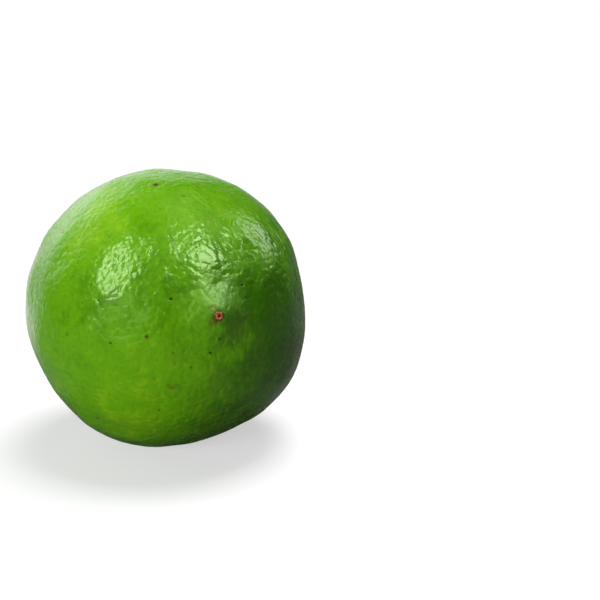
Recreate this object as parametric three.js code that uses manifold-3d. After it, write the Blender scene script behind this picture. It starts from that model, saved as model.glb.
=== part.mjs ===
// A whole lime, as picked, lying on its side. It is in millimetres with +Z up.
// The blossom end looks along -Y and a little up, and the stem end is at the back, along +Y.
// The origin is on the table, in the flat spot that the fruit rests on, right under its middle.
//
// The fruit is one solid: a smooth body whose radius is a formula of the direction, the stylar scar
// on its nipple, and the calyx with its clipped stalk, which are joined to it where they grew.

import * as THREE from 'three';
import { mergeVertices } from 'three/addons/utils/BufferGeometryUtils.js';
import Module from 'manifold-3d';

const wasm = await Module();
wasm.setup();

// The body. Its two ends are measured from the widest section.
const DIAMETER = 58;
const BLOSSOM_LENGTH = 30;
const STEM_LENGTH = 31.5;
const NECK = 0.05; // share of its width that the body loses towards the stem end
const FACE_ROWS = 19; // each face of the starting icosahedron is split this many times

// How it lies: the blossom end is lifted off the level, and the skin is pressed flat where it touches,
// which brings the middle of the fruit this low. The flat spot is about 16 mm across.
const BLOSSOM_LIFT = THREE.MathUtils.degToRad(11);
const MIDDLE_HEIGHT = 27.4;

// Broad lobes that run from end to end, as the segments inside push the skin out.
// turn is measured round the axis from +X, anticlockwise as the blossom end is seen.
const LOBES = [
  { count: 2, height: 0.09, turn: -42 },
  { count: 3, height: 0.14, turn: -40 },
  { count: 4, height: 0.35, turn: -37 },
  { count: 5, height: 0.27, turn: 33 },
];

// Low swells of the rind, crossing it in every direction.
const SWELL_COUNT = 24;
const SWELL_HEIGHT = 0.022;
const SWELL_LENGTH = 9;
const SWELL_SPREAD = 2.5; // the swells are up to this much longer or shorter than SWELL_LENGTH
const LENGTH_STEP = 2.4; // from one swell to the next, in radians, so that no two run in step
const PHASE_STEP = 1.7;

// The blossom end: a low nipple, the furrow round one side of it, and the scar on its tip.
const NIPPLE_HEIGHT = 1.4;
const NIPPLE_REACH = 4.6;
const FURROW_DEPTH = 0.4;
const FURROW_RADIUS = 7.5;
const FURROW_WIDTH = 2.5;
const FURROW_SIDE = THREE.MathUtils.degToRad(-60);
const FURROW_REST = 0.1; // share of its depth that the furrow keeps on the far side
const SCAR_RADIUS = 0.95;
const SCAR_RIM = 0.3;
const SCAR_CHAMFER = 0.1;
const SCAR_PROUD = 0.18;
const SCAR_PIT = 0.4;
const SCAR_ROOT = 1.5;

// The stem end: a shallow basin with folds running out of it.
const BASIN_DEPTH = 0.9;
const BASIN_REACH = 5.5;
const FOLD_COUNT = 7;
const FOLD_HEIGHT = 0.16;
const FOLD_REACH = 7;

// The calyx, a five-pointed star of dry sepals, and the stalk clipped just above it.
const SEPAL_COUNT = 5;
const CALYX_RADIUS = 4.3;
const CALYX_WAIST = 2.7;
const CALYX_PROUD = 0.75;
const CALYX_ROOT = 1.6;
const CALYX_BEVEL = 0.3;
const STALK_RADIUS = 1.55;
const STALK_FOOT_RADIUS = 1.75;
const STALK_PROUD = 1.9;
const STALK_CHAMFER = 0.3;
const TURNED_SIDES = 20;

const RADIUS = DIAMETER / 2;
const GOLDEN_TURN = Math.PI * (3 - Math.sqrt(5));

// A bump that is 1 at zero and fades out over reach.
const bump = (distance, reach) => Math.exp(-((distance / reach) ** 2));

// The swells are cosine waves whose directions are spread evenly over a sphere.
const swells = Array.from({ length: SWELL_COUNT }, (_, i) => {
  const height = 1 - (2 * i + 1) / SWELL_COUNT;
  const across = Math.sqrt(1 - height * height);
  const turn = GOLDEN_TURN * i;
  const length = SWELL_LENGTH + SWELL_SPREAD * Math.cos(LENGTH_STEP * i);
  return {
    way: new THREE.Vector3(across * Math.cos(turn), across * Math.sin(turn), height),
    rate: (2 * Math.PI * RADIUS) / length,
    phase: PHASE_STEP * i,
  };
});

// How far the skin stands out from the plain body, in the fruit's own axes: z runs to the blossom end.
function relief(direction) {
  const fromBlossom = RADIUS * Math.acos(THREE.MathUtils.clamp(direction.z, -1, 1));
  const fromStem = Math.PI * RADIUS - fromBlossom;
  const around = Math.atan2(direction.y, direction.x);
  const across = 1 - direction.z * direction.z;
  let height = 0;
  for (const lobe of LOBES) {
    const turn = THREE.MathUtils.degToRad(lobe.turn);
    height += lobe.height * Math.cos(lobe.count * (around - turn)) * across;
  }
  for (const swell of swells) {
    height += SWELL_HEIGHT * Math.cos(swell.rate * swell.way.dot(direction) + swell.phase);
  }
  const facing = (1 + Math.cos(around - FURROW_SIDE)) / 2;
  const furrow = FURROW_DEPTH * (FURROW_REST + (1 - FURROW_REST) * facing);
  height += NIPPLE_HEIGHT * bump(fromBlossom, NIPPLE_REACH);
  height -= furrow * bump(fromBlossom - FURROW_RADIUS, FURROW_WIDTH);
  height -= BASIN_DEPTH * bump(fromStem, BASIN_REACH);
  const fold = Math.cos(FOLD_COUNT * around) * Math.min(fromStem / BASIN_REACH, 1);
  height += FOLD_HEIGHT * fold * bump(fromStem, FOLD_REACH);
  return height;
}

// The point of the skin in one direction from the middle of the fruit.
function skinPoint(direction) {
  const middle = (BLOSSOM_LENGTH + STEM_LENGTH) / 2;
  const half = middle + ((BLOSSOM_LENGTH - STEM_LENGTH) / 2) * direction.z;
  const width = RADIUS * (1 - NECK * ((1 - direction.z) / 2) ** 3);
  const plain = new THREE.Vector3(width * direction.x, width * direction.y, half * direction.z);
  return plain.addScaledVector(direction, relief(direction));
}

// A closed geometry as a solid, with only its positions kept.
function solidOf(geometry) {
  const bare = geometry.clone();
  bare.deleteAttribute('normal');
  bare.deleteAttribute('uv');
  const merged = mergeVertices(bare);
  return new wasm.Manifold(
    new wasm.Mesh({
      numProp: 3,
      vertProperties: merged.attributes.position.array,
      triVerts: new Uint32Array(merged.index.array),
    }),
  );
}

function geometryOf(solid) {
  const mesh = solid.getMesh();
  const geometry = new THREE.BufferGeometry();
  geometry.setAttribute('position', new THREE.BufferAttribute(mesh.vertProperties, 3));
  geometry.setIndex(new THREE.BufferAttribute(mesh.triVerts, 1));
  geometry.computeVertexNormals();
  return geometry;
}

function body() {
  const geometry = new THREE.IcosahedronGeometry(1, FACE_ROWS);
  const position = geometry.attributes.position;
  const direction = new THREE.Vector3();
  for (let i = 0; i < position.count; i += 1) {
    direction.fromBufferAttribute(position, i).normalize();
    position.setXYZ(i, ...skinPoint(direction).toArray());
  }
  return solidOf(geometry);
}

// A turned piece whose axis is the fruit's, at the given height along it.
function turned(profile, height) {
  const points = profile.map(([radius, z]) => new THREE.Vector2(radius, z));
  const geometry = new THREE.LatheGeometry(points, TURNED_SIDES).rotateX(Math.PI / 2);
  return solidOf(geometry.translate(0, 0, height));
}

// The scar that the flower's style left: a low corky rim round a small pit.
function withScar(fruit) {
  const tip = skinPoint(new THREE.Vector3(0, 0, 1)).z;
  const inner = SCAR_RADIUS - SCAR_RIM;
  const rim = [
    [0, -SCAR_ROOT],
    [SCAR_RADIUS, -SCAR_ROOT],
    [SCAR_RADIUS, 0],
    [SCAR_RADIUS - SCAR_CHAMFER, SCAR_PROUD],
    [0, SCAR_PROUD],
  ];
  const pit = [
    [0, -SCAR_PIT],
    [0.5 * inner, -SCAR_PIT],
    [inner, 2 * SCAR_PROUD],
    [0, 2 * SCAR_PROUD],
  ];
  return fruit.add(turned(rim, tip)).subtract(turned(pit, tip));
}

// The calyx is a star whose edge swings between its points and its waist.
function calyx(height) {
  const star = new THREE.Shape();
  const steps = SEPAL_COUNT * 10;
  for (let i = 0; i < steps; i += 1) {
    const turn = (2 * Math.PI * i) / steps;
    const point = ((1 + Math.cos(SEPAL_COUNT * turn)) / 2) ** 1.5;
    const radius = CALYX_WAIST + (CALYX_RADIUS - CALYX_WAIST) * point - CALYX_BEVEL;
    const place = [radius * Math.cos(turn), radius * Math.sin(turn)];
    if (i === 0) star.moveTo(...place);
    else star.lineTo(...place);
  }
  star.closePath();
  const geometry = new THREE.ExtrudeGeometry(star, {
    depth: CALYX_ROOT + CALYX_PROUD - CALYX_BEVEL,
    bevelThickness: CALYX_BEVEL,
    bevelSize: CALYX_BEVEL,
    bevelSegments: 2,
  });
  // It faces the stem end, so it is turned over before it is set into the basin.
  geometry.translate(0, 0, -CALYX_ROOT).rotateX(Math.PI);
  return solidOf(geometry.translate(0, 0, height));
}

function stalk(height) {
  const profile = [
    [0, -STALK_PROUD],
    [STALK_RADIUS - STALK_CHAMFER, -STALK_PROUD],
    [STALK_RADIUS, STALK_CHAMFER - STALK_PROUD],
    [STALK_FOOT_RADIUS, 0],
    [STALK_FOOT_RADIUS, CALYX_ROOT],
    [0, CALYX_ROOT],
  ];
  return turned(profile, height);
}

// Once the fruit lies as it rests, its skin is cut flat where it meets the table.
function restingFlat(fruit) {
  const table = new THREE.BoxGeometry(3 * DIAMETER, 3 * DIAMETER, DIAMETER);
  table.translate(0, 0, -MIDDLE_HEIGHT - DIAMETER / 2);
  return fruit.subtract(solidOf(table));
}

const basin = skinPoint(new THREE.Vector3(0, 0, -1)).z;
const grown = withScar(body()).add(calyx(basin)).add(stalk(basin));
const lying = solidOf(geometryOf(grown).rotateX(Math.PI / 2 - BLOSSOM_LIFT));

const rind = new THREE.MeshStandardMaterial({ color: 0x5a9a12, roughness: 0.35, metalness: 0 });
const lime = new THREE.Mesh(geometryOf(restingFlat(lying)), rind);
lime.name = 'lime';
lime.position.z = MIDDLE_HEIGHT;

const group = new THREE.Group();
group.add(lime);

export default group;
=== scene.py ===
import math

import bmesh
import bpy
import numpy as np
from mathutils import Matrix, Vector, noise
from mathutils.bvhtree import BVHTree
from mathutils.kdtree import KDTree


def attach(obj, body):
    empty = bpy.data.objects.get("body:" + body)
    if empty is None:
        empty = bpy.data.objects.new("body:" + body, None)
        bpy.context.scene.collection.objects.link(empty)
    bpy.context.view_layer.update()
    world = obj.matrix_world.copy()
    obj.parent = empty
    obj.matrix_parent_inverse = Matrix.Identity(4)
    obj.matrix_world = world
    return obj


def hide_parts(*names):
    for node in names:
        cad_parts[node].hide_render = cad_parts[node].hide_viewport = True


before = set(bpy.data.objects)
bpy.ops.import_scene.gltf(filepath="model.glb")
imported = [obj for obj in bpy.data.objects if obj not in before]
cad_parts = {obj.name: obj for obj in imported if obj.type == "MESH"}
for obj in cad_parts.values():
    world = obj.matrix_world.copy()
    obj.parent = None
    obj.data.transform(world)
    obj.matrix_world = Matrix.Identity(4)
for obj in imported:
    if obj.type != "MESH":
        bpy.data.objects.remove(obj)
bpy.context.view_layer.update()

# The camera stands in front of the blossom end, a little to the left, and looks down on the fruit,
# which rests on a flat spot of its skin with its middle straight above the origin. The camera is
# turned off it so that it shows at the left of the frame.
MM = 0.001
RADIUS = 29.0
BLOSSOM_LIFT = math.radians(11)
MIDDLE_HEIGHT = 27.4
PHOTO_SIZE = 600
FRUIT_PIXEL = (166.6, 307.6)
FRUIT_RADIUS_PIXELS = 139.4
VIEW_AZIMUTH = math.radians(-18.5)
VIEW_ELEVATION = math.radians(15)
VIEW_DISTANCE = 295.5 * MM
LENS = 85.0
SENSOR = 36.0
NEAREST_SEEN = 0.01  # metres

MIDDLE = Vector((0, 0, MIDDLE_HEIGHT)) * MM
LYING = Matrix.Rotation(math.pi / 2 - BLOSSOM_LIFT, 3, "X")  # turns the fruit's own axis as it lies
focal_pixels = LENS / SENSOR * PHOTO_SIZE
to_camera = Vector(
    (
        math.sin(VIEW_AZIMUTH) * math.cos(VIEW_ELEVATION),
        -math.cos(VIEW_AZIMUTH) * math.cos(VIEW_ELEVATION),
        math.sin(VIEW_ELEVATION),
    )
)
to_right = Vector((math.cos(VIEW_AZIMUTH), math.sin(VIEW_AZIMUTH), 0))
to_top = to_camera.cross(to_right)

# The level camera's own pitch and heading, from where the middle of the fruit falls in the frame.
off_right = (FRUIT_PIXEL[0] - PHOTO_SIZE / 2) / focal_pixels
off_up = (PHOTO_SIZE / 2 - FRUIT_PIXEL[1]) / focal_pixels
slope = math.hypot(1, off_right, off_up) * to_camera.z / math.hypot(1, off_up)
pitch = math.asin(slope) + math.atan(off_up)
heading = VIEW_AZIMUTH + math.atan2(off_right, math.cos(pitch) + off_up * math.sin(pitch))

camera = bpy.data.objects.new("camera", bpy.data.cameras.new("camera"))
bpy.context.scene.collection.objects.link(camera)
bpy.context.scene.camera = camera
camera.data.lens = LENS
camera.data.sensor_width = SENSOR
camera.data.clip_start = NEAREST_SEEN
camera.location = MIDDLE + to_camera * VIEW_DISTANCE
camera.rotation_euler = (math.pi / 2 - pitch, 0, heading)


def pixel_ray(pixel):
    """The direction from the camera through one pixel of the photograph."""
    right = (pixel[0] - PHOTO_SIZE / 2) / focal_pixels
    up = (PHOTO_SIZE / 2 - pixel[1]) / focal_pixels
    return (camera.rotation_euler.to_matrix() @ Vector((right, up, -1))).normalized()


# The studio: a pale table that runs out of sight, walls that are bright behind the fruit and dim
# elsewhere, one large lamp overhead and a low one at the left that light it softly, and four soft
# boxes that only gleam on it. Each box stands where the skin mirrors it at one pixel.
TABLE_RADIUS = 3.0
TABLE_SIDES = 64
TABLE_COLOUR = (0.93, 0.93, 0.93, 1)
TABLE_ROUGHNESS = 0.8
TABLE_SPECULAR = 0.2
TABLE_BOUNCE = (0.13, 0.13, 0.13, 1)  # what the table throws back on the fruit, as if it were greyer
TABLE_MIRRORED = (0.04, 0.12)  # from here to here the table mirrored behind the fruit turns paler
TABLE_FADE = (0.03, 0.3)  # from here to here, in metres, the seen table turns as white as the walls
TABLE_GLOW = 0.55  # and it is this share of that white under the fruit
WALL_TURN = math.radians(25)  # the brightest wall is this far round from straight behind, to the left
WALL_BRIGHT = 1.3
WALL_DIM = 0.04
WALL_EDGES = (0.68, 0.95)  # the walls brighten from here to here: cosines of the angle from the brightest
SOFT_LAMPS = (
    # name, place in metres, width, height, power
    ("lamp_overhead", (0.20, 0.12, 0.77), 0.46, 0.46, 8.3),
    ("lamp_low_left", (-0.50, -0.31, 0.15), 0.40, 0.24, 3.7),
)
BOX_DISTANCE = 0.6
GLEAM_BOXES = (
    # name, mirrored at, width and height in degrees, brightness
    ("box_left", (119, 269), 9, 40, 20.5),
    ("box_right", (201, 258), 29, 30, 15.0),
    ("box_far_right", (251, 240), 16, 28, 5.6),
    ("box_high_left", (90, 218), 46, 42, 0.75),
)


def new_node(tree, kind, inputs=(), **settings):
    """A shader node with its settings, whose inputs are other nodes' outputs or plain values."""
    node = tree.nodes.new("ShaderNode" + kind)
    for name, value in settings.items():
        setattr(node, name, value)
    for name, source in dict(inputs).items():
        if isinstance(source, bpy.types.NodeSocket):
            tree.links.new(source, node.inputs[name])
        else:
            node.inputs[name].default_value = source
    return node


def worked_out(tree, operation, *values):
    """The result of one operation on numbers."""
    return new_node(tree, "Math", enumerate(values), operation=operation).outputs[0]


def eased(tree, value, low, high, to_low=0.0, to_high=1.0):
    """A number that eases from to_low to to_high as the value goes from low to high."""
    names = ("Value", "From Min", "From Max", "To Min", "To Max")
    inputs = zip(names, (value, low, high, to_low, to_high))
    return new_node(tree, "MapRange", inputs, interpolation_type="SMOOTHSTEP").outputs["Result"]


def new_material(name):
    """A new node material, its node tree and its shader."""
    material = bpy.data.materials.new(name)
    material.use_nodes = True
    return material, material.node_tree, material.node_tree.nodes["Principled BSDF"]


def new_lamp(name, width, height, power, place):
    """A soft rectangular lamp that shines on the fruit and that the camera doesn't see."""
    lamp = bpy.data.lights.new(name, "AREA")
    lamp.shape = "RECTANGLE"
    lamp.size = width
    lamp.size_y = height
    lamp.energy = power
    stand = bpy.data.objects.new(name, lamp)
    bpy.context.scene.collection.objects.link(stand)
    stand.location = place
    stand.rotation_euler = (MIDDLE - Vector(place)).to_track_quat("-Z", "Y").to_euler()
    stand.visible_camera = False
    return stand


bpy.context.scene.view_settings.view_transform = "Standard"
walls = bpy.data.worlds.new("walls")
walls.use_nodes = True
bpy.context.scene.world = walls
tree = walls.node_tree
brightest = Matrix.Rotation(WALL_TURN, 3, "Z") @ -Vector((to_camera.x, to_camera.y, 0)).normalized()
way = new_node(tree, "TexCoord").outputs["Generated"]
along = new_node(tree, "VectorMath", {0: way, 1: brightest}, operation="DOT_PRODUCT").outputs["Value"]
shade = eased(tree, along, *WALL_EDGES, WALL_DIM, WALL_BRIGHT)
seen = new_node(tree, "LightPath").outputs["Is Camera Ray"]
shade = new_node(tree, "Mix", {0: seen, 2: shade, 3: 1.0}).outputs[0]
tree.links.new(shade, tree.nodes["Background"].inputs["Color"])

for name, place, width, height, power in SOFT_LAMPS:
    new_lamp(name, width, height, power, place).visible_glossy = False
for name, mirrored_at, wide, high, brightness in GLEAM_BOXES:
    across = (mirrored_at[0] - FRUIT_PIXEL[0]) / FRUIT_RADIUS_PIXELS
    up = (FRUIT_PIXEL[1] - mirrored_at[1]) / FRUIT_RADIUS_PIXELS
    facing = math.sqrt(1 - across**2 - up**2)
    normal = across * to_right + up * to_top + facing * to_camera
    towards = 2 * facing * normal - to_camera
    width = 2 * BOX_DISTANCE * math.tan(math.radians(wide) / 2)
    height = 2 * BOX_DISTANCE * math.tan(math.radians(high) / 2)
    power = brightness * math.pi * width * height
    new_lamp(name, width, height, power, MIDDLE + towards * BOX_DISTANCE).visible_diffuse = False

table_mesh = bpy.data.meshes.new("table")
corners = [
    (TABLE_RADIUS * math.cos(turn), TABLE_RADIUS * math.sin(turn), 0)
    for turn in np.linspace(0, 2 * math.pi, TABLE_SIDES, endpoint=False)
]
table_mesh.from_pydata(corners, [], [range(TABLE_SIDES)])
table = bpy.data.objects.new("table", table_mesh)
bpy.context.scene.collection.objects.link(table)
paint, tree, shader = new_material("table_paint")
shader.inputs["Roughness"].default_value = TABLE_ROUGHNESS
shader.inputs["Specular IOR Level"].default_value = TABLE_SPECULAR
place = new_node(tree, "NewGeometry").outputs["Position"]
reach = new_node(tree, "VectorMath", {0: place}, operation="LENGTH").outputs["Value"]
rays = new_node(tree, "LightPath").outputs
seen = rays["Is Camera Ray"]
whiteness = worked_out(tree, "MULTIPLY", eased(tree, reach, *TABLE_FADE, TABLE_GLOW), seen)
behind = new_node(tree, "VectorMath", {0: place}, operation="NORMALIZE").outputs[0]
behind = new_node(tree, "VectorMath", {0: behind, 1: brightest}, operation="DOT_PRODUCT").outputs["Value"]
mirrored = worked_out(tree, "MULTIPLY", eased(tree, behind, *WALL_EDGES), rays["Is Glossy Ray"])
mirrored = worked_out(tree, "MULTIPLY", eased(tree, reach, *TABLE_MIRRORED), mirrored)
pale = worked_out(tree, "MAXIMUM", seen, mirrored)
colour = new_node(tree, "Mix", {0: pale, 6: TABLE_BOUNCE, 7: TABLE_COLOUR}, data_type="RGBA")
tree.links.new(colour.outputs[2], shader.inputs["Base Color"])
white = new_node(tree, "Emission").outputs["Emission"]
mixed = new_node(tree, "MixShader", {0: whiteness, 1: shader.outputs["BSDF"], 2: white})
tree.links.new(mixed.outputs["Shader"], tree.nodes["Material Output"].inputs["Surface"])
table.data.materials.append(paint)


# The rind: thin, waxy and tight over the flesh, with broad lobes over the segments inside, low swells
# and a skin pebbled by its oil glands. It grew as one skin, and keeps the specks and rubs that it got
# on the tree.
BLOSSOM_LENGTH = 30.0
STEM_LENGTH = 31.5
NECK = 0.05
LOBES = ((2, 0.09, -42), (3, 0.14, -40), (4, 0.35, -37), (5, 0.27, 33))  # count, height, turn
SWELL_COUNT = 24
SWELL_HEIGHT = 0.022
SWELL_LENGTH = 9.0
SWELL_SPREAD = 2.5
LENGTH_STEP = 2.4
PHASE_STEP = 1.7
NIPPLE_HEIGHT = 1.4
NIPPLE_REACH = 4.6
FURROW_DEPTH = 0.4
FURROW_RADIUS = 7.5
FURROW_WIDTH = 2.5
FURROW_SIDE = math.radians(-60)
FURROW_REST = 0.1
BASIN_DEPTH = 0.9
BASIN_REACH = 5.5
FOLD_COUNT = 7
FOLD_HEIGHT = 0.16
FOLD_REACH = 7.0
GOLDEN_TURN = math.pi * (3 - math.sqrt(5))

# The fine surface of the rind, in millimetres.
SKIN_DIVISIONS = 8
GRAIN_WAVES = 90
GRAIN_LENGTHS = (1.5, 3.6)
GRAIN_HEIGHT = 0.013
GLAND_SPACING = 0.95
GLAND_SCATTER = 0.10
CUSHION_HEIGHT = 0.02
CUSHION_REACH = 0.55
FINE_LEVEL = -0.09  # the fine surface lies this far under the plain one, so it stays inside its box
SMOOTH_REACH = 2.2  # the grain dies out this near to the scar and the calyx
SCAR_SEAT = (0.35, 0.7)  # depth and reach of the seat that the scar lies in
CONTACT_BLEND = 0.04
SEED = 31

# Marks in the photograph: pixel, radius in millimetres, how brown, how strong.
SEEN_MARKS = (
    ((156.0, 184.7), 0.60, 0.8, 0.95),
    ((174.5, 243.3), 0.26, 0.0, 0.90),
    ((191.3, 244.0), 0.24, 0.0, 0.80),
    ((196.2, 246.8), 0.24, 0.0, 0.80),
    ((170.7, 299.1), 0.32, 0.0, 0.95),
    ((242.3, 285.3), 0.30, 0.0, 0.95),
    ((138.7, 256.5), 0.20, 0.0, 0.70),
    ((110.4, 343.1), 0.24, 0.0, 0.85),
    ((146.8, 336.6), 0.34, 0.6, 0.90),
    ((219.7, 339.3), 0.26, 0.0, 0.85),
    ((210.2, 352.9), 0.28, 0.0, 0.90),
    ((191.3, 367.3), 0.20, 0.0, 0.60),
    ((159.2, 410.0), 0.25, 0.0, 0.80),
    ((226.0, 405.6), 0.24, 0.0, 0.60),
    ((165.3, 426.5), 0.20, 0.0, 0.60),
    ((97.5, 418.2), 0.42, 0.8, 0.55),
    ((66.9, 334.6), 0.30, 0.0, 0.40),
    ((82.2, 302.9), 0.20, 0.0, 0.45),
    ((154.0, 378.5), 0.34, 0.4, 0.30),
    ((173.0, 352.9), 0.26, 0.9, 0.50),
    ((183.1, 195.8), 0.50, 0.0, 0.25),
    # a rub below the middle
    ((168.6, 386.0), 0.39, 1.0, 0.42),
    ((172.8, 387.8), 0.44, 1.0, 0.45),
    ((177.2, 385.6), 0.32, 1.0, 0.35),
    ((158.7, 395.9), 0.39, 1.0, 0.24),
    # the stains round the scar
    ((215.2, 319.9), 0.75, 0.9, 0.75),
    ((211.6, 323.0), 0.60, 0.9, 0.45),
    ((214.4, 307.0), 0.55, 1.0, 0.40),
    ((210.6, 308.0), 0.45, 1.0, 0.35),
)

# Broad patches of the skin: pixel, reach in millimetres, and tone: below 0 for a deeper green and
# above 0 for yellow-green. The two deep green patches at the right and lower right are painted shade
# that darkens that side of the fruit.
TONE_AND_SHADE_PATCHES = (
    ((70, 310), 13.0, -0.45),
    ((160, 282), 8.0, -0.30),
    # painted shade: the right side and the lower right are made deep green to darken them
    ((285, 325), 18.0, -1.25),
    ((240, 405), 9.0, -0.55),
    ((92, 222), 9.0, 0.55),
    ((128, 392), 15.0, 0.35),
    ((215, 212), 8.0, 0.40),
)

# Marks and patches of the skin that the camera doesn't see lie at random.
HIDDEN_FACING = 0.1  # they lie where it turns away by at least this much, as a cosine
HIDDEN_MARKS = 90
HIDDEN_SIZES = (-1.4, 0.3)  # middle and spread of the natural logarithm of their radii
HIDDEN_STRENGTHS = (0.3, 1)
HIDDEN_PATCHES = 14
HIDDEN_REACHES = (6, 14)
HIDDEN_TONES = (-0.7, 0.5)


def fade(distance, reach):
    """1 at no distance, and close to 0 from twice the reach on."""
    return np.exp(-((distance / reach) ** 2))


def even_directions(count):
    """Directions spread evenly over a sphere."""
    i = np.arange(count)
    z = 1 - (2 * i + 1) / count
    across = np.sqrt(1 - z * z)
    return np.column_stack((across * np.cos(GOLDEN_TURN * i), across * np.sin(GOLDEN_TURN * i), z))


def relief(way):
    """How far the skin stands out from the plain body, in millimetres, in the fruit's own axes."""
    from_blossom = RADIUS * np.arccos(np.clip(way[:, 2], -1, 1))
    from_stem = math.pi * RADIUS - from_blossom
    around = np.arctan2(way[:, 1], way[:, 0])
    across = 1 - way[:, 2] ** 2
    height = np.zeros(len(way))
    for count, lobe_height, turn in LOBES:
        height += lobe_height * np.cos(count * (around - math.radians(turn))) * across
    for i, swell in enumerate(even_directions(SWELL_COUNT)):
        length = SWELL_LENGTH + SWELL_SPREAD * math.cos(LENGTH_STEP * i)
        rate = 2 * math.pi * RADIUS / length
        height += SWELL_HEIGHT * np.cos(rate * (way @ swell) + PHASE_STEP * i)
    facing = (1 + np.cos(around - FURROW_SIDE)) / 2
    furrow = FURROW_DEPTH * (FURROW_REST + (1 - FURROW_REST) * facing)
    height += NIPPLE_HEIGHT * fade(from_blossom, NIPPLE_REACH)
    height -= furrow * fade(from_blossom - FURROW_RADIUS, FURROW_WIDTH)
    height -= BASIN_DEPTH * fade(from_stem, BASIN_REACH)
    fold = np.cos(FOLD_COUNT * around) * np.minimum(from_stem / BASIN_REACH, 1)
    height += FOLD_HEIGHT * fold * fade(from_stem, FOLD_REACH)
    return height


def skin(way, lift=0.0):
    """Points of the skin in the fruit's own axes, in millimetres, lifted off it by that much."""
    middle = (BLOSSOM_LENGTH + STEM_LENGTH) / 2
    half = middle + (BLOSSOM_LENGTH - STEM_LENGTH) / 2 * way[:, 2]
    width = RADIUS * (1 - NECK * ((1 - way[:, 2]) / 2) ** 3)
    plain = way * np.column_stack((width, width, half))
    return plain + way * (relief(way) + lift)[:, None]


def laid(points):
    """Points in the fruit's own axes, in millimetres, as it lies on the table, in metres."""
    turned = points @ np.array(LYING).T
    return (turned + np.array((0, 0, MIDDLE_HEIGHT))) * MM


def nearest_places(points, places):
    """For each point, the number of the nearest place, the distance to it and to the next nearest."""
    finder = KDTree(len(places))
    for i, place in enumerate(places):
        finder.insert(place, i)
    finder.balance()
    found = [finder.find_n(point, 2) for point in points]
    number = np.array([pair[0][1] for pair in found])
    return number, np.array([pair[0][2] for pair in found]), np.array([pair[1][2] for pair in found])


def keep_on_points(mesh, name, values):
    """Keeps one number or one vector for each point of the mesh, for its material to read."""
    kind, part = ("FLOAT", "value") if values.ndim == 1 else ("FLOAT_VECTOR", "vector")
    mesh.attributes.new(name, kind, "POINT").data.foreach_set(part, values.astype(np.float32).ravel())


def add_piece(mesh, material):
    """Puts a finished mesh in the scene, smooth-shaded, as a piece of the fruit."""
    mesh.shade_smooth()
    mesh.materials.append(material)
    piece = bpy.data.objects.new(mesh.name, mesh)
    bpy.context.scene.collection.objects.link(piece)
    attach(piece, "root")
    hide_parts("lime")


rng = np.random.default_rng(SEED)
ball = bmesh.new()
bmesh.ops.create_icosphere(ball, subdivisions=SKIN_DIVISIONS, radius=1)
rind_mesh = bpy.data.meshes.new("rind")
ball.to_mesh(rind_mesh)
ball.free()
ways = np.empty(len(rind_mesh.vertices) * 3)
rind_mesh.vertices.foreach_get("co", ways)
ways = ways.reshape(-1, 3)
ways /= np.linalg.norm(ways, axis=1)[:, None]
plain = skin(ways)

# Each oil gland lies in the middle of its own low cushion of rind.
gland_count = int(4 * math.pi * RADIUS**2 / (GLAND_SPACING**2 * math.sqrt(3) / 2))
glands = skin(even_directions(gland_count))
glands += rng.normal(0, GLAND_SCATTER, glands.shape)
glands = skin(glands / np.linalg.norm(glands, axis=1)[:, None])
_, _, next_distance = nearest_places(plain, glands)
fine = CUSHION_HEIGHT * (np.clip(next_distance / CUSHION_REACH, 0, 2) - 1)

# A leathery unevenness, from many short waves in every direction.
grain = np.zeros(len(plain))
for direction in even_directions(GRAIN_WAVES):
    length = rng.uniform(*GRAIN_LENGTHS)
    grain += np.cos(plain @ direction * 2 * math.pi / length + rng.uniform(0, 2 * math.pi))
fine += GRAIN_HEIGHT * math.sqrt(2 / GRAIN_WAVES) * grain

from_blossom = RADIUS * np.arccos(np.clip(ways[:, 2], -1, 1))
from_stem = math.pi * RADIUS - from_blossom
fine *= 1 - fade(np.minimum(from_blossom, from_stem), SMOOTH_REACH)
fine -= SCAR_SEAT[0] * fade(from_blossom, SCAR_SEAT[1])
placed = laid(skin(ways, FINE_LEVEL + fine))
# Where it meets the table the rind is pressed flat.
blend = CONTACT_BLEND * MM
placed[:, 2] = blend * np.logaddexp(0, placed[:, 2] / blend)
rind_mesh.vertices.foreach_set("co", placed.ravel())
rind_mesh.update()

# Marks and patches that show lie where the camera sees them, and the others where it doesn't.
faces = BVHTree.FromPolygons([tuple(p) for p in placed], [tuple(p.vertices) for p in rind_mesh.polygons])


def seen_place(pixel):
    """The point of the skin that shows at one pixel of the photograph."""
    return faces.ray_cast(camera.location, pixel_ray(pixel))[0]


def hidden_place():
    """A point of the skin that the camera doesn't see."""
    while True:
        place = Vector(placed[rng.integers(len(placed))])
        if (place - MIDDLE).normalized().dot(to_camera) < -HIDDEN_FACING:
            return place


marks = [seen_place(pixel) for pixel, *_ in SEEN_MARKS]
mark_kinds = [kind for _, *kind in SEEN_MARKS]
for _ in range(HIDDEN_MARKS):
    marks.append(hidden_place())
    size = rng.lognormal(*HIDDEN_SIZES)
    brownness = rng.uniform(0, 1) ** 2
    mark_kinds.append((size, brownness, rng.uniform(*HIDDEN_STRENGTHS)))
marks = np.array(marks)
mark, mark_distance, _ = nearest_places(placed, marks)

# The patches paint shade as well as tone: the two at the right and lower right darken that side.
patches = [(seen_place(pixel), *kind) for pixel, *kind in TONE_AND_SHADE_PATCHES]
for _ in range(HIDDEN_PATCHES):
    patches.append((hidden_place(), rng.uniform(*HIDDEN_REACHES), rng.uniform(*HIDDEN_TONES)))
tone = np.zeros(len(placed))
for place, reach, shift in patches:
    tone += shift * fade(np.linalg.norm(placed - place, axis=1) / MM, reach)

keep_on_points(rind_mesh, "mark_offset", (placed - marks[mark]) / MM)
keep_on_points(rind_mesh, "mark_distance", mark_distance / MM)
keep_on_points(rind_mesh, "mark_kind", np.array(mark_kinds)[mark])
keep_on_points(rind_mesh, "tone", tone)
keep_on_points(rind_mesh, "stem_distance", from_stem)


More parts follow.
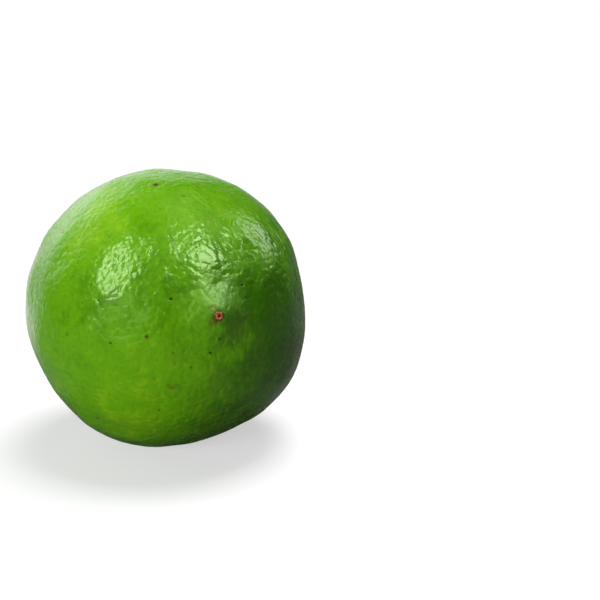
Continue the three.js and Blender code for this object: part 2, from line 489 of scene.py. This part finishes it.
def uneven(tree, place, size, detail=2.0, roughness=0.5):
    """Noise from 0 to 1, in blotches of about that size."""
    inputs = {"Vector": place, "Scale": 1 / size, "Detail": detail, "Roughness": roughness}
    return new_node(tree, "TexNoise", inputs).outputs["Fac"]


def blended(tree, amount, first, second):
    """The first colour where the amount is 0, and the second where it is 1."""
    return new_node(tree, "Mix", {0: amount, 6: first, 7: second}, data_type="RGBA").outputs[2]


def add_bump(tree, shader, height, unit, strength):
    """Gives a material a relief, from a height that is measured in units of that many millimetres."""
    bump = new_node(tree, "Bump", {"Strength": strength, "Distance": unit * MM, "Height": height})
    tree.links.new(bump.outputs["Normal"], shader.inputs["Normal"])


DEEP_GREEN = (0.042, 0.165, 0.001, 1)
LEAF_GREEN = (0.102, 0.305, 0.001, 1)
YELLOW_GREEN = (0.165, 0.370, 0.003, 1)
GLAND_GREEN = (0.040, 0.170, 0.001, 1)
BASIN_GREEN = (0.210, 0.300, 0.020, 1)
SPECK_BLACK = (0.004, 0.009, 0.001, 1)
SPECK_BROWN = (0.110, 0.040, 0.004, 1)
HALO_OLIVE = (0.080, 0.140, 0.003, 1)
DUST_BROWN = (0.110, 0.080, 0.020, 1)
NOISE_SPAN = (0.3, 0.7)  # nearly all of a noise lies between these

# The unevenness of the skin: sizes in millimetres, and how far the first three shift its tone.
BROAD_SIZE = 17
PATCH_SIZE = 4.2
PATCH_DETAIL = 3
SHORT_SIZE = 1.2
BROAD_SHIFTS = (-0.25, 0.25)
PATCH_SHIFTS = (-0.22, 0.28)
SHORT_SHIFTS = (-0.20, 0.20)
FACET_SIZE = 1.6
TINY_SIZE = 0.4
DEEPEST_TONE = -1.2
PALEST_TONE = 1.0

# The oil glands, by the distance from their middle in spacings.
GLANDS_PER_MM = 0.87
GLAND_SOFTNESS = 0.45
DRIFT_RATE = 0.6  # how quickly the rows of glands bend
DRIFT_REACH = 0.5  # and how far, in millimetres
GLAND_DOT = (0.42, 0.12)  # a gland's dot shows more and more from here to here
GLAND_DOT_STRENGTHS = (0.08, 0.46)

# The skin round the calyx: from here to here, in millimetres from the stem end, and how strongly.
BASIN_PALING = (12.0, 5.5, 0, 0.7)
BASIN_DUST = (7.6, 5.8, 0, 0.7)
BASIN_RAGGED = 5.0

# The marks, by the distance from their middle in radii.
MARK_CERTAIN = 0.8  # the exact distance is never less than this share of the plain one
MARK_RAGGED = 1.6
MARK_HALO = (2.0, 0.9, 0, 0.45)
MARK_CORE = (1.15, 0.55)

# The wax, and its relief in millimetres.
WAX_ROUGHNESS = (0.21, 0.28)
WAX_IOR = 1.44
WAX_TINT = (0.82, 1.0, 0.56, 1)
SCAR_DULLING = (10.0, 3.0)  # from here to here, in millimetres from the scar, the wax grows duller
SCAR_DULLED = 0.20  # by this much roughness
CUSHION_FALLS = (-0.05, -0.18)  # from a gland's middle to one spacing away
FACET_HEIGHT = 0.08
MARK_PIT = -0.045
CALM_UNDER = 13.0  # from this height over the table downwards the relief dies down
CALM_SHARE = 0.25  # to this share of it

rind_finish, tree, shader = new_material("waxy_green_rind")
metres = new_node(tree, "TexCoord").outputs["Object"]
place = new_node(tree, "VectorMath", {0: metres, "Scale": 1 / MM}, operation="SCALE").outputs[0]
broad = uneven(tree, place, BROAD_SIZE)
patchy = uneven(tree, place, PATCH_SIZE, PATCH_DETAIL)
short = uneven(tree, place, SHORT_SIZE)
facets = uneven(tree, place, FACET_SIZE)
tiny = uneven(tree, place, TINY_SIZE)

# The tone kept on the points holds painted shade at the right and lower right, besides the skin's own
# tone.
tone = new_node(tree, "Attribute", attribute_name="tone").outputs["Fac"]
tone = worked_out(tree, "ADD", tone, eased(tree, broad, *NOISE_SPAN, *BROAD_SHIFTS))
tone = worked_out(tree, "ADD", tone, eased(tree, patchy, *NOISE_SPAN, *PATCH_SHIFTS))
tone = worked_out(tree, "ADD", tone, eased(tree, short, *NOISE_SPAN, *SHORT_SHIFTS))
colour = blended(tree, eased(tree, tone, 0.0, DEEPEST_TONE), LEAF_GREEN, DEEP_GREEN)
colour = blended(tree, eased(tree, tone, 0.0, PALEST_TONE), colour, YELLOW_GREEN)

# The glands show as darker dots, in rows that wander a little.
drift = new_node(tree, "TexNoise", {"Vector": place, "Scale": DRIFT_RATE}).outputs["Color"]
inputs = {0: drift, 1: (DRIFT_REACH, DRIFT_REACH, DRIFT_REACH), 2: place}
adrift = new_node(tree, "VectorMath", inputs, operation="MULTIPLY_ADD").outputs[0]
inputs = {"Vector": adrift, "Scale": GLANDS_PER_MM, "Smoothness": GLAND_SOFTNESS, "Randomness": 1.0}
from_gland = new_node(tree, "TexVoronoi", inputs, feature="SMOOTH_F1").outputs["Distance"]
dot_strength = eased(tree, short, *NOISE_SPAN, *GLAND_DOT_STRENGTHS)
gland_dot = worked_out(tree, "MULTIPLY", eased(tree, from_gland, *GLAND_DOT), dot_strength)
colour = blended(tree, gland_dot, colour, GLAND_GREEN)

from_calyx = new_node(tree, "Attribute", attribute_name="stem_distance").outputs["Fac"]
ragged = worked_out(tree, "MULTIPLY_ADD", patchy, BASIN_RAGGED, from_calyx)
colour = blended(tree, eased(tree, ragged, *BASIN_PALING), colour, BASIN_GREEN)
colour = blended(tree, eased(tree, ragged, *BASIN_DUST), colour, DUST_BROWN)

# The offset kept on the points is exact near a mark, and the plain distance rules out the false
# marks that offsets to two neighbours would make halfway between them.
offset = new_node(tree, "Attribute", attribute_name="mark_offset").outputs["Vector"]
exact = new_node(tree, "VectorMath", {0: offset}, operation="LENGTH").outputs["Value"]
rough = new_node(tree, "Attribute", attribute_name="mark_distance").outputs["Fac"]
from_mark = worked_out(tree, "MAXIMUM", exact, worked_out(tree, "MULTIPLY", rough, MARK_CERTAIN))
kind = new_node(tree, "Attribute", attribute_name="mark_kind").outputs["Vector"]
size, brownness, strength = new_node(tree, "SeparateXYZ", {0: kind}).outputs
share = worked_out(tree, "DIVIDE", from_mark, size)
share = worked_out(tree, "MULTIPLY_ADD", worked_out(tree, "SUBTRACT", tiny, 0.5), MARK_RAGGED, share)
halo = worked_out(tree, "MULTIPLY", eased(tree, share, *MARK_HALO), strength)
core = worked_out(tree, "MULTIPLY", eased(tree, share, *MARK_CORE), strength)
speck = blended(tree, brownness, SPECK_BLACK, SPECK_BROWN)
colour = blended(tree, halo, colour, HALO_OLIVE)
colour = blended(tree, core, colour, speck)
tree.links.new(colour, shader.inputs["Base Color"])

roughness = eased(tree, patchy, *NOISE_SPAN, *WAX_ROUGHNESS)
scar_edges = [math.pi * RADIUS - distance for distance in SCAR_DULLING]
duller = eased(tree, from_calyx, *scar_edges, 0, SCAR_DULLED)
tree.links.new(worked_out(tree, "ADD", roughness, duller), shader.inputs["Roughness"])
shader.inputs["IOR"].default_value = WAX_IOR
shader.inputs["Specular Tint"].default_value = WAX_TINT

# Soft cushions round the glands, uneven facets over them and a shallow pit in each mark, all calmer
# near the table.
bulge = worked_out(tree, "MULTIPLY", from_gland, from_gland)
height = worked_out(tree, "MULTIPLY", eased(tree, short, *NOISE_SPAN, *CUSHION_FALLS), bulge)
height = worked_out(tree, "MULTIPLY_ADD", facets, FACET_HEIGHT, height)
height = worked_out(tree, "MULTIPLY_ADD", core, MARK_PIT, height)
above_table = new_node(tree, "SeparateXYZ", {0: place}).outputs["Z"]
calm = eased(tree, above_table, 0.0, CALM_UNDER, CALM_SHARE, 1)
add_bump(tree, shader, worked_out(tree, "MULTIPLY", height, calm), 1.0, 1.0)
add_piece(rind_mesh, rind_finish)


# The scar that the flower's style left on the tip of the nipple: a low torn ring of dry cork round a
# small pit. It healed over as the fruit grew, so it is one with the rind.
SCAR_TURNS = 96
SCAR_PROFILE = (
    # distance from the middle and height over the skin, in millimetres, from the pit to the underside
    (0.00, -0.16),
    (0.12, -0.15),
    (0.22, -0.11),
    (0.31, -0.02),
    (0.40, 0.08),
    (0.48, 0.13),
    (0.58, 0.15),
    (0.68, 0.13),
    (0.77, 0.09),
    (0.84, 0.03),
    (0.91, -0.05),
    (0.94, -0.20),
    (0.68, -0.42),
    (0.00, -0.45),
)
SCAR_RAGGED = (0.22, 0.08)  # how far its ring wanders sideways and up and down
SCAR_STEADY = 0.5  # nearer to the middle than this it wanders less sideways
WANDER_RATE = 2.1  # how quickly it turns aside
TEAR_RATES = (4.3, 11.0)  # and how closely its coarse and its fine tears follow each other
FINE_TEARS = 0.6  # height of the fine tears as a share of the coarse ones'
SCAR_FIBRE_CIRCLE = 0.6  # its fibres run outwards, as many as lie side by side on this radius
BLOSSOM_END = 1
STEM_END = -1
CORK_TAN = (0.500, 0.200, 0.060, 1)
CORK_BROWN = (0.100, 0.024, 0.005, 1)
CORK_DARK = (0.110, 0.018, 0.004, 1)
CORK_FIBRES = (0.5, 0.16)  # length and width
CORK_SHIFTS = (0.16, 0.5)  # how far crumbs and streaks move the edges of its bands of colour
CORK_TAN_EDGE = (0.50, 0.76)
CORK_BROWN_EDGE = (0.96, 1.20)
CORK_DARK_STREAKS = (0.56, 0.36, 0, 0.8)
CORK_ROUGHNESS = 0.75
CORK_SPECULAR = 0.2
CORK_STREAK_HEIGHT = 0.5
CORK_RELIEF = 0.1
DRY_RELIEF_STRENGTH = 0.8
DRY_DETAIL = 3
CRUMB_SIZE = 0.16
CRUMB_CONTRAST = 0.65


def over_skin(end, distance, turn, lift):
    """A point over the skin near one end of the fruit, in the fruit's own axes, in millimetres.

    end is BLOSSOM_END or STEM_END, and distance is measured along the skin from it.
    """
    angle = distance / RADIUS
    way = (math.sin(angle) * math.cos(turn), math.sin(angle) * math.sin(turn), end * math.cos(angle))
    return skin(np.array([way]), lift)[0]


def ring_points(rings):
    """One row for each point of rings of points or of values, where the end rings count as one each."""
    return np.array([rings[0][0]] + [point for ring in rings[1:-1] for point in ring] + [rings[-1][0]])


def closed_mesh(name, rings):
    """A closed mesh of rings of points, whose first and last rings are single points."""
    points = ring_points(rings)
    turns = len(rings[1])
    last = len(points) - 1
    around = [(i, (i + 1) % turns) for i in range(turns)]
    faces = [(0, 1 + i, 1 + j) for i, j in around]
    for ring in range(len(rings) - 3):
        inner = 1 + ring * turns
        faces += [(inner + i, inner + turns + i, inner + turns + j, inner + j) for i, j in around]
    faces += [(last, last - turns + j, last - turns + i) for i, j in around]
    mesh = bpy.data.meshes.new(name)
    mesh.from_pydata([tuple(p) for p in laid(points)], [], faces)
    shape = bmesh.new()
    shape.from_mesh(mesh)
    bmesh.ops.recalc_face_normals(shape, faces=shape.faces)
    shape.to_mesh(mesh)
    shape.free()
    return mesh


rings = []
fibres = []
for distance, lift in SCAR_PROFILE:
    ring = []
    along = []
    for i in range(SCAR_TURNS):
        turn = 2 * math.pi * i / SCAR_TURNS
        spot = Vector((math.cos(turn), math.sin(turn), distance))
        steady = min(distance, SCAR_STEADY) / SCAR_STEADY
        sideways = SCAR_RAGGED[0] * noise.noise(spot * WANDER_RATE) * steady
        tears = noise.noise(spot * TEAR_RATES[0]) + FINE_TEARS * noise.noise(spot * TEAR_RATES[1])
        ring.append(over_skin(BLOSSOM_END, distance + sideways, turn, lift + SCAR_RAGGED[1] * tears))
        along.append((distance, SCAR_FIBRE_CIRCLE * math.cos(turn), SCAR_FIBRE_CIRCLE * math.sin(turn)))
    rings.append(ring)
    fibres.append(along)
scar_mesh = closed_mesh("style_scar", rings)
keep_on_points(scar_mesh, "fibre_place", ring_points(fibres))

# Dry plant tissue: fibres that run one way, with crumbs between them.
dry_fibres = bpy.data.node_groups.new("dry_fibres", "ShaderNodeTree")
for name, kind in (("Place", "Vector"), ("Length", "Float"), ("Width", "Float")):
    dry_fibres.interface.new_socket(name, in_out="INPUT", socket_type="NodeSocket" + kind)
for name in ("Streaks", "Crumbs"):
    dry_fibres.interface.new_socket(name, in_out="OUTPUT", socket_type="NodeSocketFloat")
given = dry_fibres.nodes.new("NodeGroupInput").outputs
put_out = dry_fibres.nodes.new("NodeGroupOutput").inputs
finer = [worked_out(dry_fibres, "DIVIDE", 1.0, given[name]) for name in ("Length", "Width", "Width")]
scale = new_node(dry_fibres, "CombineXYZ", enumerate(finer)).outputs[0]
drawn = new_node(dry_fibres, "VectorMath", {0: given["Place"], 1: scale}, operation="MULTIPLY")
streaks = uneven(dry_fibres, drawn.outputs[0], 1.0, DRY_DETAIL)
crumbs = uneven(dry_fibres, given["Place"], CRUMB_SIZE, DRY_DETAIL, CRUMB_CONTRAST)
dry_fibres.links.new(streaks, put_out["Streaks"])
dry_fibres.links.new(crumbs, put_out["Crumbs"])


def fibres_in(tree, length, width):
    """The dry_fibres group in one material: the place along and across them, streaks and crumbs."""
    place = new_node(tree, "Attribute", attribute_name="fibre_place").outputs["Vector"]
    group = new_node(tree, "Group", node_tree=dry_fibres)
    tree.links.new(place, group.inputs["Place"])
    group.inputs["Length"].default_value = length
    group.inputs["Width"].default_value = width
    return place, group.outputs["Streaks"], group.outputs["Crumbs"]


cork, tree, shader = new_material("dry_cork")
place, streaks, crumbs = fibres_in(tree, *CORK_FIBRES)
distance = new_node(tree, "SeparateXYZ", {0: place}).outputs["X"]
distance = worked_out(tree, "MULTIPLY_ADD", crumbs, CORK_SHIFTS[0], distance)
distance = worked_out(tree, "MULTIPLY_ADD", streaks, CORK_SHIFTS[1], distance)
colour = blended(tree, eased(tree, distance, *CORK_TAN_EDGE), CORK_DARK, CORK_TAN)
colour = blended(tree, eased(tree, distance, *CORK_BROWN_EDGE), colour, CORK_BROWN)
colour = blended(tree, eased(tree, streaks, *CORK_DARK_STREAKS), colour, CORK_BROWN)
tree.links.new(colour, shader.inputs["Base Color"])
shader.inputs["Roughness"].default_value = CORK_ROUGHNESS
shader.inputs["Specular IOR Level"].default_value = CORK_SPECULAR
height = worked_out(tree, "MULTIPLY_ADD", streaks, CORK_STREAK_HEIGHT, crumbs)
add_bump(tree, shader, height, CORK_RELIEF, DRY_RELIEF_STRENGTH)
add_piece(scar_mesh, cork)


# The calyx: a flat star of five dry sepals, thick in the middle and thin and curled at the tips. It
# grew out of the stalk and stayed on the fruit, pressed against the skin of its basin.
SEPAL_COUNT = 5
CALYX_RADIUS = 4.3
CALYX_WAIST = 2.7
CALYX_THICK = 0.62
CALYX_TIP_THICK = 0.24
CALYX_THINNING = 1.5  # the larger, the nearer to the tips it thins out
CALYX_ROOT = 0.7
CALYX_STEPS = 26
CALYX_CROWDING = 1.3  # its rings of points lie closer together towards the edge
CALYX_TURNS = 240
UNDERSIDE_SHARES = (0.97, 0.5, 0.0)
SEPAL_POINTEDNESS = 1.5
SEPAL_SCATTER = 0.3  # how much shorter some sepals are than the longest
SEPAL_CHANGE = 2.3  # their lengths follow a wave, which goes on by this many radians at each one
TORN_EDGE = (0.10, 9)  # how far the edge is torn, and how closely the tears follow each other
WORN_EDGE = 0.08  # and how much is worn off it all round
MIDRIB = (0.16, 0.4)  # height and half width of the rib along each sepal
MIDRIB_RISE = 3  # it has its full height one third of the way out
MIDRIB_FALL = 3  # the larger, the nearer to the tip it dies down
WRINKLE_HEIGHT = 0.07
WRINKLES = ((1.0, 0.7, 9), (0.5, 1.1, 21))  # share of the height, and how close along and round
ROLLED_FROM = 0.86  # share of the way out where the edge starts to roll under
ROLLED_DEPTH = 0.1
SEPAL_FIBRE_CIRCLE = 3  # as for the scar's fibres
SEPAL_OLIVE = (0.120, 0.140, 0.028, 1)
SEPAL_BROWN = (0.150, 0.085, 0.030, 1)
SEPAL_DARK = (0.045, 0.026, 0.012, 1)
SEPAL_PALE = (0.300, 0.270, 0.110, 1)
SEPAL_FIBRES = (2.2, 0.3)  # length and width
SEPAL_SHIFT = 1.6  # how far the streaks move the edges of its colours
SEPAL_BROWN_EDGE = (2.6, 4.4)
SEPAL_DARK_EDGE = (4.3, 5.0, 0, 0.8)
SEPAL_PALE_STREAKS = (0.54, 0.7, 0, 0.6)
SEPAL_DARK_STREAKS = (0.46, 0.3, 0, 0.7)
SEPAL_ROUGHNESS = (0.5, 0.75)
SEPAL_STREAK_HEIGHT = 2.0
SEPAL_RELIEF = 0.06


def sepal_edge(turn):
    """How far the calyx reaches from the middle at one turn round it, in millimetres."""
    tip = ((1 + math.cos(SEPAL_COUNT * turn)) / 2) ** SEPAL_POINTEDNESS
    sepal = round(SEPAL_COUNT * turn / (2 * math.pi))
    shorter = SEPAL_SCATTER * (0.5 + 0.5 * math.sin(SEPAL_CHANGE * sepal))
    torn = TORN_EDGE[0] * noise.noise(Vector((math.cos(turn), math.sin(turn), 0)) * TORN_EDGE[1])
    return CALYX_WAIST + (CALYX_RADIUS - CALYX_WAIST - shorter) * tip + torn - WORN_EDGE


def sepal_lift(distance, turn, share):
    """How high the calyx stands over the skin, share of the way from its middle to its edge."""
    from_rib = (turn * SEPAL_COUNT / (2 * math.pi) + 0.5) % 1 - 0.5
    sideways = distance * from_rib * 2 * math.pi / SEPAL_COUNT
    thick = CALYX_THICK + (CALYX_TIP_THICK - CALYX_THICK) * share**CALYX_THINNING
    rib = MIDRIB[0] * fade(sideways, MIDRIB[1])
    rib *= min(1, MIDRIB_RISE * share) * (1 - share**MIDRIB_FALL)
    wrinkle = 0
    for part, outwards, around in WRINKLES:
        spot = Vector((distance * outwards, around * math.cos(turn), around * math.sin(turn)))
        wrinkle += part * noise.noise(spot)
    rolled = math.sqrt(max(0, 1 - max(0, (share - ROLLED_FROM) / (1 - ROLLED_FROM)) ** 2))
    return (thick + rib + WRINKLE_HEIGHT * wrinkle) * rolled - ROLLED_DEPTH * (1 - rolled)


def sepal_fibres(distance, turn):
    """A point's place along and across the fibres of the calyx, which run outwards."""
    return distance, SEPAL_FIBRE_CIRCLE * math.cos(turn), SEPAL_FIBRE_CIRCLE * math.sin(turn)


turns = [2 * math.pi * i / CALYX_TURNS for i in range(CALYX_TURNS)]
rings = []
fibres = []
for step in range(CALYX_STEPS + 1):
    share = 1 - (1 - step / CALYX_STEPS) ** CALYX_CROWDING
    distances = [share * sepal_edge(turn) for turn in turns]
    rings.append(
        [
            over_skin(STEM_END, distance, turn, sepal_lift(distance, turn, share))
            for distance, turn in zip(distances, turns)
        ]
    )
    fibres.append([sepal_fibres(distance, turn) for distance, turn in zip(distances, turns)])
for share in UNDERSIDE_SHARES:
    rings.append([over_skin(STEM_END, share * sepal_edge(turn), turn, -CALYX_ROOT) for turn in turns])
    fibres.append([sepal_fibres(share * CALYX_RADIUS, turn) for turn in turns])
calyx_mesh = closed_mesh("calyx", rings)
keep_on_points(calyx_mesh, "fibre_place", ring_points(fibres))

sepal_skin, tree, shader = new_material("dry_sepals")
place, streaks, crumbs = fibres_in(tree, *SEPAL_FIBRES)
distance = new_node(tree, "SeparateXYZ", {0: place}).outputs["X"]
ragged = worked_out(tree, "MULTIPLY_ADD", streaks, SEPAL_SHIFT, distance)
colour = blended(tree, eased(tree, ragged, *SEPAL_BROWN_EDGE), SEPAL_OLIVE, SEPAL_BROWN)
colour = blended(tree, eased(tree, streaks, *SEPAL_PALE_STREAKS), colour, SEPAL_PALE)
colour = blended(tree, eased(tree, streaks, *SEPAL_DARK_STREAKS), colour, SEPAL_DARK)
colour = blended(tree, eased(tree, ragged, *SEPAL_DARK_EDGE), colour, SEPAL_DARK)
tree.links.new(colour, shader.inputs["Base Color"])
tree.links.new(eased(tree, crumbs, *NOISE_SPAN, *SEPAL_ROUGHNESS), shader.inputs["Roughness"])
height = worked_out(tree, "MULTIPLY_ADD", streaks, SEPAL_STREAK_HEIGHT, crumbs)
add_bump(tree, shader, height, SEPAL_RELIEF, DRY_RELIEF_STRENGTH)
add_piece(calyx_mesh, sepal_skin)


# The stalk, clipped just above the calyx when the fruit was picked: green-brown bark round pale wood
# with a darker pith, cut a little aslant.
STALK_RADIUS = 1.55
STALK_FOOT_RADIUS = 1.75
STALK_LENGTH = 1.75
STALK_ROOT = 1.2
STALK_TURNS = 120
CUT_SLANT = 0.08  # how much further the stalk stands out on its long side, for each millimetre across
CUT_LEVEL = 0.12  # how far the cut lies under the stalk's full length
CUT_TORN = (0.03, 10)  # height of the tears in it, and how closely they follow each other
SIDE_LEVEL = 0.21  # how far the side begins under the stalk's full length
SIDE_STEPS = 14
SIDE_DRAWN = 4  # length of bark that is drawn down the side
BARK_THICK = 0.24
PITH_RADIUS = 0.34
BARK_RIBS = 9
BARK_RIB_HEIGHT = 0.035
BARK_LUMPS = (0.06, 2.4, 0.8)  # height of its lumps, and how close they lie round and down the stalk
BARK_RISE = 4  # ribs and lumps have their full height one fourth of the way down
BARK_OLIVE = (0.105, 0.105, 0.030, 1)
BARK_DARK = (0.050, 0.034, 0.016, 1)
WOOD_PALE = (0.420, 0.330, 0.160, 1)
WOOD_DARK = (0.230, 0.150, 0.060, 1)
STALK_FIBRES = (2.6, 0.22)  # length and width
STALK_SHIFT = 0.1  # how far the crumbs move the edges of its colours
WOOD_STREAKS = (0.35, 0.65)
BARK_STREAKS = (0.35, 0.6)
PITH_EDGE = (0.14, -0.02)
BARK_INNER_EDGE = 0.08
BARK_UPPER_EDGE = (0.05, 0.15)
STALK_ROUGHNESS = 0.7
STALK_STREAK_HEIGHT = 1.6
STALK_RELIEF = 0.07
CUT_PROFILE = (
    # share of the radius and height over the cut, from the pith to the bark
    (0.00, -0.10),
    (0.12, -0.09),
    (0.22, -0.02),
    (0.34, 0.02),
    (0.48, 0.00),
    (0.62, 0.02),
    (0.76, 0.00),
    (0.86, -0.03),
    (0.92, 0.01),
    (0.97, -0.02),
    (1.00, -0.09),
)

basin = skin(np.array([(0.0, 0.0, -1.0)]))[0][2]
turns = [2 * math.pi * i / STALK_TURNS for i in range(STALK_TURNS)]
rings = []
fibres = []
for share, lift in CUT_PROFILE:
    radius = STALK_RADIUS * share
    spread = CUT_TORN[1] * share
    ring = []
    for turn in turns:
        torn = CUT_TORN[0] * noise.noise(Vector((spread * math.cos(turn), spread * math.sin(turn), 0)))
        out = STALK_LENGTH + lift + torn - CUT_LEVEL + CUT_SLANT * radius * math.cos(turn)
        ring.append((radius * math.cos(turn), radius * math.sin(turn), basin - out))
    rings.append(ring)
    fibres.append([(0, radius * math.sin(turn), radius * math.cos(turn)) for turn in turns])
for step in range(1, SIDE_STEPS + 1):
    down = step / SIDE_STEPS
    plain_radius = STALK_RADIUS + (STALK_FOOT_RADIUS - STALK_RADIUS) * down**2
    lump_height, lumps_round, lumps_down = BARK_LUMPS
    ring = []
    for turn in turns:
        spot = Vector((lumps_round * math.cos(turn), lumps_round * math.sin(turn), lumps_down * down))
        ribs = BARK_RIB_HEIGHT * math.cos(BARK_RIBS * turn) + lump_height * noise.noise(spot)
        radius = plain_radius + ribs * min(1, BARK_RISE * down)
        edge = STALK_LENGTH - SIDE_LEVEL + CUT_SLANT * STALK_RADIUS * math.cos(turn)
        out = edge + (-STALK_ROOT - edge) * down
        ring.append((radius * math.cos(turn), radius * math.sin(turn), basin - out))
    rings.append(ring)
    drawn = SIDE_DRAWN * down
    fibres.append(
        [(drawn, STALK_RADIUS * math.sin(turn), STALK_RADIUS * math.cos(turn)) for turn in turns]
    )
rings.append([(0, 0, basin + STALK_ROOT)])
fibres.append([(SIDE_DRAWN, 0, 0)])
stalk_mesh = closed_mesh("stalk", rings)
keep_on_points(stalk_mesh, "fibre_place", ring_points(fibres))

bark, tree, shader = new_material("clipped_stalk")
place, streaks, crumbs = fibres_in(tree, *STALK_FIBRES)
down, north, east = new_node(tree, "SeparateXYZ", {0: place}).outputs
flat = new_node(tree, "CombineXYZ", {0: north, 1: east}).outputs[0]
distance = new_node(tree, "VectorMath", {0: flat}, operation="LENGTH").outputs["Value"]
wander = worked_out(tree, "MULTIPLY_ADD", crumbs, STALK_SHIFT, distance)
pith_edges = [PITH_RADIUS + shift for shift in PITH_EDGE]
bark_from = STALK_RADIUS - BARK_THICK
colour = blended(tree, eased(tree, streaks, *WOOD_STREAKS), WOOD_DARK, WOOD_PALE)
colour = blended(tree, eased(tree, wander, *pith_edges), colour, WOOD_DARK)
in_bark = eased(tree, wander, bark_from, bark_from + BARK_INNER_EDGE)
on_side = eased(tree, down, *BARK_UPPER_EDGE)
barked = blended(tree, eased(tree, streaks, *BARK_STREAKS), BARK_DARK, BARK_OLIVE)
colour = blended(tree, worked_out(tree, "MAXIMUM", in_bark, on_side), colour, barked)
tree.links.new(colour, shader.inputs["Base Color"])
shader.inputs["Roughness"].default_value = STALK_ROUGHNESS
height = worked_out(tree, "MULTIPLY_ADD", streaks, STALK_STREAK_HEIGHT, crumbs)
add_bump(tree, shader, height, STALK_RELIEF, DRY_RELIEF_STRENGTH)
add_piece(stalk_mesh, bark)
